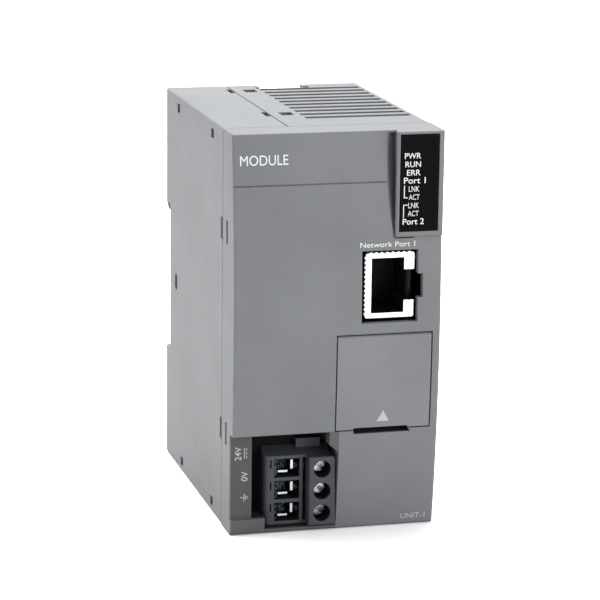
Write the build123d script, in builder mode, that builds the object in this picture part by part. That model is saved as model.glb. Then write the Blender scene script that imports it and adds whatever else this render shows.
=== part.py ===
"""Rail-mounted controller module: a two-port network coupler with a pluggable power terminal.

Frame: +X to the right seen from the front, +Y to the rear, +Z up. The origin is the centre of
the underside of the module's box. All sizes are in millimetres.
"""

from math import sqrt
import os

from build123d import *

os.makedirs("parts", exist_ok=True)

# ---------------------------------------------------------------------------------------------
# Driving dimensions
# ---------------------------------------------------------------------------------------------

# Case
case_width = 47.0
case_height = 90.0
case_depth = 68.7          # rear face to the top and bottom edges of the front
front_bulge = 3.0          # how far the arched front stands out at mid height
wall = 1.8                 # walls of the two housing halves
cover_wall = 1.6           # walls of the front cover
cover_depth = 8.3          # front edges to the seam with the housing
left_half_width = 14.5     # left side to the seam between the housing halves
edge_round = 0.5           # outside edges of the mouldings
seam_gap = 0.2             # visible seams between mouldings
half_gap = 0.35            # seam between the housing halves
fit_gap = 0.1              # between fixed pieces that seat in each other
move_gap = 0.3             # between pieces that move past each other
pin_gap = 0.05             # radial, hinge pins and screw shanks

# Seat for a 35 mm top-hat rail
rail_width = 35.0
rail_play = 0.4            # extra height of the seat over the rail
recess_depth = 4.1
recess_share = 0.3         # height of the seat's lower edge, as a share of the case's
hook_overlap = 1.5         # how far a hook reaches over a rail edge
hook_thickness = 2.3

# Rail clamp and the two channels for clamps and mounting strips
clamp_boss_gap = 4.55      # channel's boss right of the seam, past the joint arms
clamp_width = 10.2
clamp_travel = 4.0
slider_depth = 3.7         # the clamp's body, flush with the rear face
flange_thickness = 1.4     # the slider's side flanges and their grooves
flange_reach = 1.2
strip_channel_clear = 11.6  # upper channel's floor above the rail seat

# Ventilation slots in the top and bottom
vent_count = 10
vent_slot = 2.4
vent_front = 19.4          # first slot, behind the front edges
vent_rear = 7.0            # last slot, before the rear face
vent_offset = 6.8          # slot ends right of the seam
vent_margin = 1.3          # from the slot ends to the right side

# Network jacks and their openings
jack_width = 11.2
jack_height = 14.65
jack_length = 16.5
jack_inset = 11.55         # jack's centre from the right side
port_1_rise = 10.65        # above mid height
port_2_drop = 10.9         # below mid height
port_1_recess = 1.5        # jack face behind the foremost point of the front
port_2_recess = 2.0
shield_sheet = 0.4
port_margin_left = 1.1
port_margin_right = 0.5
port_margin_z = 0.75
cavity_height = 12.35      # plug opening, across the contacts
cavity_width = 7.45        # plug opening, from contacts to latch shoulder
cavity_offset = 1.4        # from the shield's side to the plug opening
cavity_depth = 12.5
latch_opening = 6.9
latch_notch = 5.3
latch_notch_reach = 1.1

# Door over the second port
door_width = 21.45
door_height = 21.55
door_inset = 2.1           # from the right side
door_thickness = 1.1
door_pin_radius = 0.6
door_pin_length = 0.9
hinge_depth = 1.0          # hinge axis behind the door's face and below its top edge
finger_slot_width = 13.2
finger_slot_inset = 4.05   # from the door's left edge
finger_slot_height = 0.75
finger_slot_depth = 2.3

# Status window
bezel_width = 11.1
bezel_height = 23.4
rim_left = 0.95
rim_right = 1.2
rim_bottom = 1.2
rim_top = 0.6
lens_thickness = 1.3
lens_ledge = 0.9
led_inset = 3.5            # from the right side
led_drops = [5.4, 7.2, 9.05, 12.7, 14.5, 16.35, 18.1]  # below the top
groove_drop = 11.2         # groove across the panel, below the top

# Terminal block, pocket and label strip
pole_count = 3
pole_pitch = 5.08
plug_width = 15.8
plug_offset = 8.3          # from the left side
plug_bottom = 1.1
plug_end_wall = 0.33       # outside the outer poles
plug_front = -0.7          # screw face, from the front's edge plane
plug_rear = 6.8
deck_rise = 1.3            # slope of the plug's top, from the wire entries to the rear
nose_length = 12.0
nose_inset_left = 1.85
nose_inset = 0.3
nose_inset_z = 1.2
wire_face = 2.0            # face with the wire entries, from the front's edge plane
screw_block_width = 6.2
plug_groove = 0.75         # between the entries and the screws
plug_groove_depth = 3.2
wire_edge_round = 1.3      # the plug's left edge
deck_edge_round = 0.8      # its upper right edge, beside the pocket's shoulder
grip_inset = 8.0           # from the plug's left side
grip_width = 5.6
grip_depth = 1.4
grip_height = 2.9
chamber_inset = 2.3        # wire entries, from the plug's left side
chamber_width = 5.8
screw_inset = 3.15         # screws from the plug's right side
screw_hole_web = 1.14      # between the holes of two poles
screw_head_gap = 0.17
screw_head_height = 1.6
screw_radius = 1.45
screw_head_y = 3.0
screw_length = 6.5
contact_inset = 4.7        # contacts from the plug's left side
header_wall = 0.9
header_depth = 13.0
pocket_rise = 6.1          # pocket's top over the plug's
label_strip_width = 5.0
pocket_right_gap = 0.15
pocket_floor = 0.8
strip_recess = 0.5
strip_bottom = 3.5

# Boards
board_thickness = 1.6
main_board_inset = 5.8     # component side, facing left, from the right side
power_board_gap = 1.0      # component side, facing left, right of the plug
main_board_front = 6.5
power_board_front = 9.0
board_rear_gap = 7.7       # before the rear face
board_edge = 2.2           # clear of the outside height, top and bottom

# Expansion connector on the right side
expansion_y = 38.0         # from the front's edge plane
expansion_rise = 17.0      # above mid height
expansion_height = 34.0
expansion_width = 8.4
expansion_pins = 13
expansion_pitch = 2.0

# ---------------------------------------------------------------------------------------------
# Sizes that follow
# ---------------------------------------------------------------------------------------------

left_x = -case_width / 2
right_x = case_width / 2
front_y = -(case_depth + front_bulge) / 2
edge_y = front_y + front_bulge
rear_y = edge_y + case_depth
seam_y = edge_y + cover_depth
seam_x = left_x + left_half_width
mid_z = case_height / 2

arc_radius = (mid_z**2 + front_bulge**2) / (2 * front_bulge)
arc_y = front_y + arc_radius

recess_bottom = recess_share * case_height
recess_y = rear_y - recess_depth
hook_y = rear_y - hook_thickness
seat_top = recess_bottom + rail_width + rail_play
hook_z = seat_top - hook_overlap

strip_z = seat_top + strip_channel_clear
clamp_center_x = seam_x + clamp_boss_gap + wall + flange_reach + move_gap + clamp_width / 2

vent_left = seam_x + vent_offset
vent_pitch = (case_depth - vent_front - vent_rear) / (vent_count - 1)

plug_left = left_x + plug_offset
plug_right = plug_left + plug_width
plug_height = pole_count * pole_pitch + 2 * plug_end_wall
plug_top = plug_bottom + plug_height
pole_heights = [plug_top - plug_end_wall - (n + 0.5) * pole_pitch for n in range(pole_count)]
pocket_left = left_x + label_strip_width
pocket_right = plug_right + pocket_right_gap
pocket_top = plug_top + pocket_rise
screw_x = plug_right - screw_inset
screw_hole_radius = (pole_pitch - screw_hole_web) / 2
screw_head_radius = screw_hole_radius - screw_head_gap
contact_x = plug_left + contact_inset

main_board_x = right_x - main_board_inset
power_board_x = plug_right + power_board_gap
board_rear = case_depth - board_rear_gap

port_1_z = mid_z + port_1_rise
port_2_z = mid_z - port_2_drop
jack_center_x = right_x - jack_inset
expansion_z = mid_z + expansion_rise

door_right = right_x - door_inset
door_left = door_right - door_width
door_bottom = port_2_z - door_height / 2
door_top = door_bottom + door_height
finger_slot_left = door_left + finger_slot_inset
hinge_z = door_top - hinge_depth

bezel_left = right_x - bezel_width
bezel_bottom = case_height - bezel_height
lens_left = bezel_left + rim_left
lens_right = right_x - rim_right
lens_bottom = bezel_bottom + rim_bottom
lens_top = case_height - rim_top

led_x = right_x - led_inset
led_heights = [case_height - drop for drop in led_drops]
groove_z = case_height - groove_drop

jack_left = jack_center_x - jack_width / 2
jack_right = jack_center_x + jack_width / 2


def panel_y(z, depth=0.0):
    """Y of the arched front at a height, or of the surface this far behind it."""
    return arc_y - sqrt((arc_radius - depth) ** 2 - (z - mid_z) ** 2)


def block(low, high, mode=Mode.ADD):
    """A box between two opposite corners, in the part being built."""
    center = [(a + b) / 2 for a, b in zip(low, high)]
    with Locations(tuple(center)):
        return Box(*[b - a for a, b in zip(low, high)], mode=mode)


def write_piece(piece, name):
    """Label a finished piece and write it as parts/NAME.step."""
    piece.part.label = name
    export_step(piece.part, f"parts/{name}.step")


hinge_y = panel_y(hinge_z) + hinge_depth


# ---------------------------------------------------------------------------------------------
# Housing halves
# ---------------------------------------------------------------------------------------------

lip_length = 4.0           # tongue that the front cover slides over
lip_thickness = 1.0
lip_inset = cover_wall + fit_gap
vent_right = right_x - vent_margin
snap_windows = [
    (19.0, case_height - 2.8),
    (case_depth - 14.1, case_height - 2.8),
    (18.3, 2.4),
    (case_depth - 18.3, 2.4),
]                          # behind the front edges, and height
snap_size = (2.7, 2.2)
hole_y = 57.4              # oval hole at mid height, behind the front edges
hole_size = (4.2, 2.7)
cover_snaps = [case_height - 22.2, 22.3]
cover_snap_height = 4.8
snap_slot_y = 9.6          # slots for the cover's snaps, behind the front edges
snap_slot_width = 1.3
latch_rows = [25.6, case_depth - 8.4]  # joints between the halves, behind the front edges
latch_width = 4.0


def outer_profile():
    """Side outline of the housing, with the rail seat and its fixed upper hook."""
    start = seam_y + seam_gap / 2
    with BuildLine() as outline:
        Polyline(
            (start, 0),
            (rear_y, 0),
            (rear_y, recess_bottom),
            (recess_y, recess_bottom),
            (recess_y, seat_top),
            (hook_y, seat_top),
            (hook_y, hook_z),
            (rear_y, hook_z + hook_overlap),
            (rear_y, case_height),
            (start, case_height),
            close=True,
        )
    return outline


def inner_profile():
    """Side outline of the space inside the housing."""
    start = seam_y - lip_length - 1
    rear = rear_y - wall
    seat = recess_y - wall
    with BuildLine() as outline:
        Polyline(
            (start, wall),
            (rear, wall),
            (rear, recess_bottom - wall),
            (seat, recess_bottom - wall),
            (seat, seat_top + wall),
            (rear, seat_top + wall),
            (rear, case_height - wall),
            (start, case_height - wall),
            close=True,
        )
    return outline


def add_lip(x_low, x_high, inner_low, inner_high):
    """Thin tongue round the front opening, left open where the cover needs the room."""
    y_low = seam_y - lip_length
    y_high = seam_y + wall
    inset = lip_inset + lip_thickness
    block((x_low, y_low, lip_inset), (x_high, y_high, case_height - lip_inset))
    cut_low = (inner_low, y_low - 1, inset)
    block(cut_low, (inner_high, y_high, case_height - inset), mode=Mode.SUBTRACT)


def cut_pocket_room():
    """Room in the housing for the terminal pocket, the header and the cover's snap arms."""
    header_top = plug_top + header_wall
    low = (pocket_left - cover_wall, seam_y - lip_length - 1, -1)
    block(low, (pocket_right + cover_wall, seam_y - 0.01, pocket_top + cover_wall), mode=Mode.SUBTRACT)
    low = (plug_left - header_wall, seam_y, pocket_floor)
    block(low, (power_board_x + fit_gap, edge_y + 24.5, header_top), mode=Mode.SUBTRACT)


with BuildPart() as left_housing:
    with BuildSketch(Plane.YZ.offset(left_x)):
        add(outer_profile())
        make_face()
    extrude(amount=left_half_width - half_gap / 2)
    fillet(left_housing.faces().sort_by(Axis.X)[0].edges(), edge_round)
    add_lip(left_x + lip_inset, seam_x - half_gap / 2, left_x + lip_inset + lip_thickness, seam_x)
    with BuildSketch(Plane.YZ.offset(left_x + wall)):
        add(inner_profile())
        make_face()
    extrude(amount=left_half_width, mode=Mode.SUBTRACT)
    cut_pocket_room()
    for y, z in snap_windows:
        with Locations((left_x, edge_y + y, z)):
            Box(4 * wall, *snap_size, mode=Mode.SUBTRACT)
    with BuildSketch(Plane.YZ.offset(left_x - 1)):
        with Locations((edge_y + hole_y, mid_z)):
            SlotOverall(*hole_size, rotation=90)
    extrude(amount=wall + 2, mode=Mode.SUBTRACT)
    for z in cover_snaps:
        with Locations((left_x, edge_y + snap_slot_y, z)):
            Box(8 * wall, snap_slot_width, cover_snap_height, mode=Mode.SUBTRACT)
        with Locations((left_x + lip_inset, seam_y - lip_length / 2, z)):
            Box(4 * lip_thickness, lip_length + 1, cover_snap_height + 1, mode=Mode.SUBTRACT)
    # Arms that reach under the right half and hook up into its square windows.
    for y in latch_rows:
        for side in (-1, 1):
            surface = mid_z + side * (mid_z - wall)
            root = surface + side * 0.5
            tip = surface - side * fit_gap
            low = surface - side * 1.2
            row = edge_y + y
            block(
                (seam_x - 4.5, row - 2, min(low, root)),
                (seam_x - 1.6, row + 2, max(low, root)),
            )
            block(
                (seam_x - 4.5, row - 2, min(low, tip)),
                (seam_x + 4.3, row + 2, max(low, tip)),
            )
            hook = surface + side * 1.0
            block(
                (seam_x + 2.8, row - 1.7, min(low, hook)),
                (seam_x + 4.3, row + 1.7, max(low, hook)),
            )
            block(
                (seam_x - 1.3, row - 2.9, min(surface, surface + side * 4)),
                (seam_x + 1, row + 2.9, max(surface, surface + side * 4)),
                mode=Mode.SUBTRACT,
            )
write_piece(left_housing, "left_housing")


# The channels take a slider with side flanges: the rail clamp below, a mounting strip above.
channel_left = clamp_center_x - clamp_width / 2 - move_gap
channel_right = clamp_center_x + clamp_width / 2 + move_gap
groove_left = channel_left - flange_reach
groove_right = channel_right + flange_reach
slider_y = rear_y - slider_depth
groove_front_y = slider_y - flange_thickness - move_gap
groove_top = recess_bottom - wall
boss_front_y = groove_front_y - wall


def cut_channel(z_low, z_high, groove_low, groove_high):
    """One slider channel: the open slot in the rear face and the flange grooves behind it."""
    block((channel_left, groove_front_y, z_low), (channel_right, rear_y + 1, z_high), mode=Mode.SUBTRACT)
    groove_high_corner = (groove_right, slider_y + move_gap, groove_high)
    block((groove_left, groove_front_y, groove_low), groove_high_corner, mode=Mode.SUBTRACT)


def add_board_guides(board_x, front, rear):
    """Pairs of ribs at the top and bottom that hold a board by its edges."""
    rib = 1.0
    for x in (board_x - fit_gap - rib, board_x + board_thickness + fit_gap):
        block((x, edge_y + front, wall - 0.2), (x + rib, edge_y + rear, board_edge + 2))
        top = case_height - wall + 0.2
        block((x, edge_y + front, case_height - board_edge - 2), (x + rib, edge_y + rear, top))


with BuildPart() as right_housing:
    with BuildSketch(Plane.YZ.offset(seam_x + half_gap / 2)):
        add(outer_profile())
        make_face()
    extrude(amount=case_width - left_half_width - half_gap / 2)
    fillet(right_housing.faces().sort_by(Axis.X)[-1].edges(), edge_round)
    add_lip(seam_x + half_gap / 2, right_x - lip_inset, seam_x, right_x - lip_inset - lip_thickness)
    with BuildSketch(Plane.YZ.offset(right_x - wall)):
        add(inner_profile())
        make_face()
    extrude(amount=-(case_width - left_half_width), mode=Mode.SUBTRACT)
    # Bosses that carry the slider channels inside the rear wall.
    boss_left = groove_left - wall
    boss_right = groove_right + wall
    block((boss_left, boss_front_y, 0.1), (boss_right, rear_y - 0.1, recess_bottom - 0.1))
    block((boss_left, boss_front_y, strip_z - wall), (boss_right, rear_y - 0.1, case_height - 0.1))
    cut_channel(-1, recess_bottom + 0.1, -1, groove_top)
    cut_channel(strip_z, case_height + 1, strip_z, case_height + 1)
    add_board_guides(main_board_x, 12.0, board_rear - 1)
    add_board_guides(power_board_x, 25.5, board_rear - 1)
    cut_pocket_room()
    # Ventilation slots through the top and bottom.
    vent_middle = edge_y + vent_front + (vent_count - 1) * vent_pitch / 2
    for z in (0, case_height):
        with Locations(((vent_left + vent_right) / 2, vent_middle, z)):
            with GridLocations(1, vent_pitch, 1, vent_count):
                Box(vent_right - vent_left, vent_slot, 2 * wall + 1, mode=Mode.SUBTRACT)
    for y, z in snap_windows:
        with Locations((right_x, edge_y + y, z)):
            Box(4 * wall, *snap_size, mode=Mode.SUBTRACT)
    for z in cover_snaps:
        with Locations((right_x, edge_y + snap_slot_y, z)):
            Box(2 * wall + 2, snap_slot_width, cover_snap_height, mode=Mode.SUBTRACT)
        with Locations((right_x - lip_inset, seam_y - lip_length / 2, z)):
            Box(4 * lip_thickness, lip_length + 1, cover_snap_height + 1, mode=Mode.SUBTRACT)
    for y in latch_rows:
        for z in (0, case_height):
            with Locations((seam_x + 4.0, edge_y + y, z)):
                Box(3.0, latch_width, 2 * wall + 1, mode=Mode.SUBTRACT)
    # Opening for the expansion connector, with a step that seats its cover.
    with Locations((right_x, edge_y + expansion_y, expansion_z)):
        Box(4 * wall, expansion_width, expansion_height, mode=Mode.SUBTRACT)
        Box(2.4, expansion_width + 3, expansion_height + 3, mode=Mode.SUBTRACT)
write_piece(right_housing, "right_housing")


# ---------------------------------------------------------------------------------------------
# Front cover
# ---------------------------------------------------------------------------------------------

bay_floor_y = edge_y - 0.6
bay_rear_y = edge_y + 0.8
bay_wall = 1.4
port_left = jack_left - port_margin_left
port_right = jack_right + port_margin_right
port_half = jack_height / 2 + port_margin_z
cover_rear_y = seam_y - seam_gap / 2
pocket_back = 1.2


# The scoop's floor is straight along scoop_run, so it is cut in a plane square to that.
scoop_run = Vector(1.0, 0.95, 0).normalized()
scoop_run_depth = 2.8
scoop_middle_z = case_height - 11.0
bezel_undercut = 1.35
scoop_plane = Plane(
    origin=(bezel_left, panel_y(scoop_middle_z), 0),
    x_dir=(-scoop_run.Y, scoop_run.X, 0),
    z_dir=scoop_run,
)


def scoop_point(reach, z):
    """Where the scoop's left edge crosses the panel this far left of the bezel, in its plane."""
    step = Vector(-reach, panel_y(z) - panel_y(scoop_middle_z), 0)
    return (step.dot(scoop_plane.x_dir), z)


scoop_edge = [
    scoop_point(-0.1, bezel_bottom - 0.3),
    scoop_point(1.4, scoop_middle_z),
    scoop_point(0.95, case_height - 0.6),
]


def arched_face(depth, z_low, z_high, y_rear):
    """Side outline between the arched front, this far behind it, and a flat rear."""
    y_low = panel_y(z_low, depth)
    y_mid = panel_y((z_low + z_high) / 2, depth)
    y_high = panel_y(z_high, depth)
    with BuildLine() as outline:
        ThreePointArc((y_low, z_low), (y_mid, (z_low + z_high) / 2), (y_high, z_high))
        Polyline((y_high, z_high), (y_rear, z_high), (y_rear, z_low), (y_low, z_low))
    return outline


def cut_port(z, y_low, y_high, left, right, half):
    """Port opening with the notch for the plug's latch."""
    block((left, y_low, z - half), (right, y_high, z + half), mode=Mode.SUBTRACT)
    notch_right = right + latch_notch_reach
    block((right - 1, y_low, z - latch_notch / 2), (notch_right, y_high, z + latch_notch / 2),
          mode=Mode.SUBTRACT)


with BuildPart() as front_cover:
    with BuildSketch(Plane.YZ.offset(left_x)):
        add(arched_face(0, 0, case_height, cover_rear_y))
        make_face()
    extrude(amount=case_width)
    side_edges = front_cover.edges().filter_by(GeomType.CIRCLE)
    ends = front_cover.edges().filter_by(Axis.X).group_by(Axis.Y)[0]
    fillet(side_edges + ends, edge_round)
    # Space inside.
    with BuildSketch(Plane.YZ.offset(left_x + cover_wall)):
        add(arched_face(cover_wall, cover_wall, case_height - cover_wall, seam_y + 1))
        make_face()
    extrude(amount=case_width - 2 * cover_wall, mode=Mode.SUBTRACT)
    # Ledge behind the lens and backing behind the scoop beside the bezel.
    with BuildSketch(Plane.YZ.offset(bezel_left - 3)):
        add(arched_face(cover_wall - 0.1, bezel_bottom - 1, case_height - cover_wall + 0.1, edge_y + 2.6))
        make_face()
    extrude(amount=right_x - 0.5 - (bezel_left - 3))
    # Scoop beside the bezel: its floor slopes down to the right and runs in under the bezel.
    with BuildSketch(scoop_plane):
        with BuildLine():
            ThreePointArc(*scoop_edge)
            Polyline(scoop_edge[-1], (-4, scoop_edge[-1][1]), (-4, scoop_edge[0][1]), scoop_edge[0])
        make_face()
    extrude(amount=scoop_run_depth, both=True, mode=Mode.SUBTRACT)
    # Bezel block round the status window, undercut along the scoop.
    with BuildSketch(Plane.XY.offset(bezel_bottom)):
        with BuildLine():
            Polyline(
                (bezel_left, front_y),
                (right_x, front_y),
                (right_x, edge_y + cover_wall),
                (bezel_left + bezel_undercut, edge_y + cover_wall),
                close=True,
            )
        make_face()
    extrude(amount=case_height - bezel_bottom)
    bezel_round = min(edge_round, 0.72 * (panel_y(bezel_bottom) - front_y))
    fillet(front_cover.faces().filter_by(Axis.Y).sort_by(Axis.Y)[0].edges(), bezel_round)
    # Door bay, its floor round the second port, and the frame of the terminal pocket.
    block((door_left - move_gap - bay_wall, edge_y - 1.5, door_bottom - move_gap - bay_wall),
          (right_x - 0.5, bay_rear_y, door_top + move_gap + bay_wall))
    block((left_x + 0.5, edge_y + strip_recess, 0.5),
          (pocket_left, edge_y + strip_recess + cover_wall, pocket_top + cover_wall))
    block((pocket_left - pocket_back, edge_y + strip_recess, 0.3),
          (pocket_right + pocket_back, cover_rear_y, pocket_top + pocket_back))
    # Label strip, one step behind the panel.
    block((left_x - 1, front_y - 1, strip_bottom), (pocket_left + 0.1, edge_y + strip_recess, pocket_top),
          mode=Mode.SUBTRACT)
    # Terminal pocket, with its chamfered shoulder at the right.
    with BuildSketch(Plane.XZ.offset(-(cover_rear_y - pocket_back))):
        with BuildLine():
            Polyline(
                (pocket_left, pocket_top),
                (pocket_right - 2.2, pocket_top),
                (pocket_right - 2.2, plug_top + 3.1),
                (pocket_right, plug_top + 1.2),
                (pocket_right, pocket_floor),
                (plug_left - 0.4, pocket_floor),
                (plug_left - 0.4, strip_bottom),
                (pocket_left, strip_bottom),
                close=True,
            )
        make_face()
    extrude(amount=cover_depth + front_bulge + 2, mode=Mode.SUBTRACT)
    block(
        (
            plug_left + nose_inset_left - move_gap,
            cover_rear_y - 2 * pocket_back,
            plug_bottom + nose_inset_z - move_gap,
        ),
        (plug_right - nose_inset + move_gap, seam_y + 1, plug_top - nose_inset_z + move_gap),
        mode=Mode.SUBTRACT,
    )
    # Door opening, hinge holes and finger slot.
    block((door_left - move_gap, front_y - 1, door_bottom - move_gap),
          (door_right + move_gap, bay_floor_y, door_top + move_gap), mode=Mode.SUBTRACT)
    with Locations(((door_left + door_right) / 2, hinge_y, hinge_z)):
        Cylinder(door_pin_radius + pin_gap, door_width + 2 * (move_gap + door_pin_length + 0.1),
                 rotation=(0, 90, 0), mode=Mode.SUBTRACT)
    with BuildSketch(Plane.XZ.offset(-(panel_y(door_bottom) + finger_slot_depth))):
        with BuildLine():
            slot_top = door_bottom - move_gap + 0.1
            slot_low = door_bottom - move_gap - finger_slot_height
            slot_right = finger_slot_left + finger_slot_width
            Polyline(
                (finger_slot_left, slot_top),
                (finger_slot_left, slot_low),
                (slot_right, slot_low),
                (slot_right - finger_slot_height, slot_top),
                close=True,
            )
        make_face()
    extrude(amount=finger_slot_depth + 4, mode=Mode.SUBTRACT)
    # Port openings.
    cut_port(port_1_z, front_y - 1, edge_y + 3, port_left, port_right, port_half)
    cut_port(port_2_z, bay_floor_y - 1, edge_y + 3, jack_left - fit_gap, jack_right + fit_gap,
             jack_height / 2 + fit_gap)
    # Seat and window for the lens.
    block((lens_left, front_y - 1, lens_bottom), (lens_right, front_y + lens_thickness + fit_gap, lens_top),
          mode=Mode.SUBTRACT)
    block((lens_left + lens_ledge, front_y, lens_bottom + lens_ledge),
          (lens_right - lens_ledge, edge_y + 4, case_height - cover_wall - 1), mode=Mode.SUBTRACT)
    # Groove across the panel, above the arched field.
    block((left_x - 1, front_y - 1, groove_z - 0.15),
          (bezel_left - 0.5, panel_y(groove_z) + 0.35, groove_z + 0.15), mode=Mode.SUBTRACT)
    # Snap arms at both sides, and the slots they show through.
    for z in cover_snaps:
        for side in (-1, 1):
            skin = side * right_x
            inside = side * (right_x - cover_wall + 0.2)
            deep = side * (right_x - cover_wall - 1.0)
            half = cover_snap_height / 2
            block((min(inside, deep), edge_y + 5.4, z - half), (max(inside, deep), cover_rear_y, z + half))
            inside = side * (right_x - wall - fit_gap)
            block((min(inside, deep), cover_rear_y - 1, z - half + 0.2),
                  (max(inside, deep), edge_y + 10.2, z + half - 0.2))
            bump = side * (right_x - wall + 0.9)
            block((min(inside, bump), edge_y + 9.1, z - half + 0.2),
                  (max(inside, bump), edge_y + 10.0, z + half - 0.2))
            low = (min(skin - side * 2 * cover_wall, skin + side), edge_y + 3.6, z - half - 0.2)
            high = (max(skin - side * 2 * cover_wall, skin + side), edge_y + 5.0, z + half + 0.2)
            block(low, high, mode=Mode.SUBTRACT)
write_piece(front_cover, "front_cover")


# ---------------------------------------------------------------------------------------------
# Door
# ---------------------------------------------------------------------------------------------

with BuildPart() as port_door:
    with BuildSketch(Plane.YZ.offset(door_left)):
        with BuildLine():
            y_low = panel_y(door_bottom)
            y_mid = panel_y(door_bottom + door_height / 2)
            y_high = panel_y(door_top)
            ThreePointArc((y_low, door_bottom), (y_mid, door_bottom + door_height / 2), (y_high, door_top))
            Line((y_high, door_top), (y_high + hinge_depth, door_top))
            Line((y_high + hinge_depth, door_top), (panel_y(hinge_z, door_thickness), hinge_z))
            ThreePointArc(
                (panel_y(hinge_z, door_thickness), hinge_z),
                (panel_y(door_bottom + door_height / 2, door_thickness), door_bottom + door_height / 2),
                (panel_y(door_bottom, door_thickness), door_bottom),
            )
            Line((panel_y(door_bottom, door_thickness), door_bottom), (y_low, door_bottom))
        make_face()
        with Locations((hinge_y, hinge_z)):
            Circle(hinge_depth)
    extrude(amount=door_width)
    top_edge = port_door.edges().filter_by(Axis.X).group_by(Axis.Z)[-1].sort_by(Axis.Y)[0]
    fillet(top_edge, 0.7)
    with Locations(((door_left + door_right) / 2, hinge_y, hinge_z)):
        Cylinder(door_pin_radius, door_width + 2 * (move_gap + door_pin_length), rotation=(0, 90, 0))
    # The lower edge is cut back over the finger slot.
    block((finger_slot_left, front_y - 1, door_bottom - 1),
          (finger_slot_left + finger_slot_width - finger_slot_height, edge_y, door_bottom + 0.35),
          mode=Mode.SUBTRACT)
write_piece(port_door, "port_door")


# ---------------------------------------------------------------------------------------------
# Status window, light pipes and LEDs
# ---------------------------------------------------------------------------------------------

guide_rear_y = edge_y + main_board_front - 0.5

with BuildPart() as status_lens:
    block((lens_left + 0.05, front_y + 0.02, lens_bottom + 0.05),
          (lens_right - 0.05, front_y + lens_thickness, lens_top - 0.05))
    front_edges = status_lens.faces().sort_by(Axis.Y)[0].edges()
    chamfer(front_edges, 0.3)
write_piece(status_lens, "status_lens")

with BuildPart() as light_guide:
    for z in led_heights:
        block((led_x - 0.8, front_y + lens_thickness + 0.3, z - 0.55), (led_x + 0.8, guide_rear_y, z + 0.55))
    block((led_x - 0.9, edge_y + 3.0, led_heights[-1] - 1), (led_x + 0.9, edge_y + 4.2, led_heights[0] + 1))
write_piece(light_guide, "light_guide")

with BuildPart() as status_leds:
    led_side_x = main_board_x + board_thickness
    for z in led_heights:
        block((led_side_x, edge_y + main_board_front + 0.1, z - 0.6),
              (led_side_x + 1.4, edge_y + main_board_front + 1.3, z + 0.6))
write_piece(status_leds, "status_leds")


# ---------------------------------------------------------------------------------------------
# Boards
# ---------------------------------------------------------------------------------------------

pin_row_y = edge_y + 23.0


def make_board(name, x, front):
    """A bare board standing fore and aft between its guides."""
    with BuildPart() as board:
        block((x, edge_y + front, board_edge),
              (x + board_thickness, edge_y + board_rear, case_height - board_edge))
        fillet(board.edges().filter_by(Axis.X), 1.0)
        if name == "power_board":
            for z in pole_heights:
                with Locations((x, pin_row_y, z)):
                    Cylinder(0.75, 4 * board_thickness, rotation=(0, 90, 0), mode=Mode.SUBTRACT)
    write_piece(board, name)


make_board("main_board", main_board_x, main_board_front)
make_board("power_board", power_board_x, power_board_front)


# ---------------------------------------------------------------------------------------------
# Network jacks
# ---------------------------------------------------------------------------------------------

contact_count = 8
contact_pitch = 1.02
contact_wire = 0.45


def make_jack(number, z, recess):
    """Stamped shield, moulded insert and eight sprung contacts of one network jack."""
    face_y = front_y + recess
    rear = face_y + jack_length
    half = jack_height / 2
    opening_left = jack_left + cavity_offset
    opening_right = opening_left + cavity_width
    with BuildPart() as shield:
        block((jack_left, face_y, z - half), (jack_right, rear, z + half))
        fillet(shield.edges().filter_by(Axis.Y), 0.5)
        block((jack_left + shield_sheet, face_y + shield_sheet, z - half + shield_sheet),
              (jack_right - shield_sheet, rear + 1, z + half - shield_sheet), mode=Mode.SUBTRACT)
        block((opening_left, face_y - 1, z - cavity_height / 2),
              (opening_right, face_y + 1, z + cavity_height / 2), mode=Mode.SUBTRACT)
        block((opening_right - 1, face_y - 1, z - latch_opening / 2),
              (jack_right + 1, face_y + 3, z + latch_opening / 2), mode=Mode.SUBTRACT)
    write_piece(shield, f"port_{number}_shield")

    skin = shield_sheet + 0.05
    with BuildPart() as insert:
        block((jack_left + skin, face_y + skin, z - half + skin),
              (jack_right - skin, rear - 0.5, z + half - skin))
        block((opening_left, face_y - 1, z - cavity_height / 2),
              (opening_right, face_y + cavity_depth, z + cavity_height / 2), mode=Mode.SUBTRACT)
        block((opening_right - 1, face_y - 1, z - latch_opening / 2),
              (jack_right - 1.0, face_y + cavity_depth, z + latch_opening / 2), mode=Mode.SUBTRACT)
        block((opening_right - 1, face_y - 1, z - latch_opening / 2),
              (jack_right + 1, face_y + 3, z + latch_opening / 2), mode=Mode.SUBTRACT)
    write_piece(insert, f"port_{number}_insert")

    with BuildPart() as contacts:
        for n in range(contact_count):
            height = z + (n - (contact_count - 1) / 2) * contact_pitch
            with BuildSketch(Plane.XY.offset(height - contact_wire / 2)):
                with BuildLine():
                    Polyline(
                        (opening_left + 0.1, face_y + 2.0),
                        (opening_left + 0.1 + contact_wire, face_y + 2.0),
                        (opening_left + 3.2, face_y + cavity_depth - 2.4),
                        (opening_left + 3.2, face_y + cavity_depth - 0.05),
                        (opening_left + 3.2 - contact_wire, face_y + cavity_depth - 0.05),
                        (opening_left + 3.2 - contact_wire, face_y + cavity_depth - 2.2),
                        close=True,
                    )
                make_face()
            extrude(amount=contact_wire)
    write_piece(contacts, f"port_{number}_contacts")


make_jack(1, port_1_z, port_1_recess)
make_jack(2, port_2_z, port_2_recess)


# ---------------------------------------------------------------------------------------------
# Terminal header on the power board
# ---------------------------------------------------------------------------------------------

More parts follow.
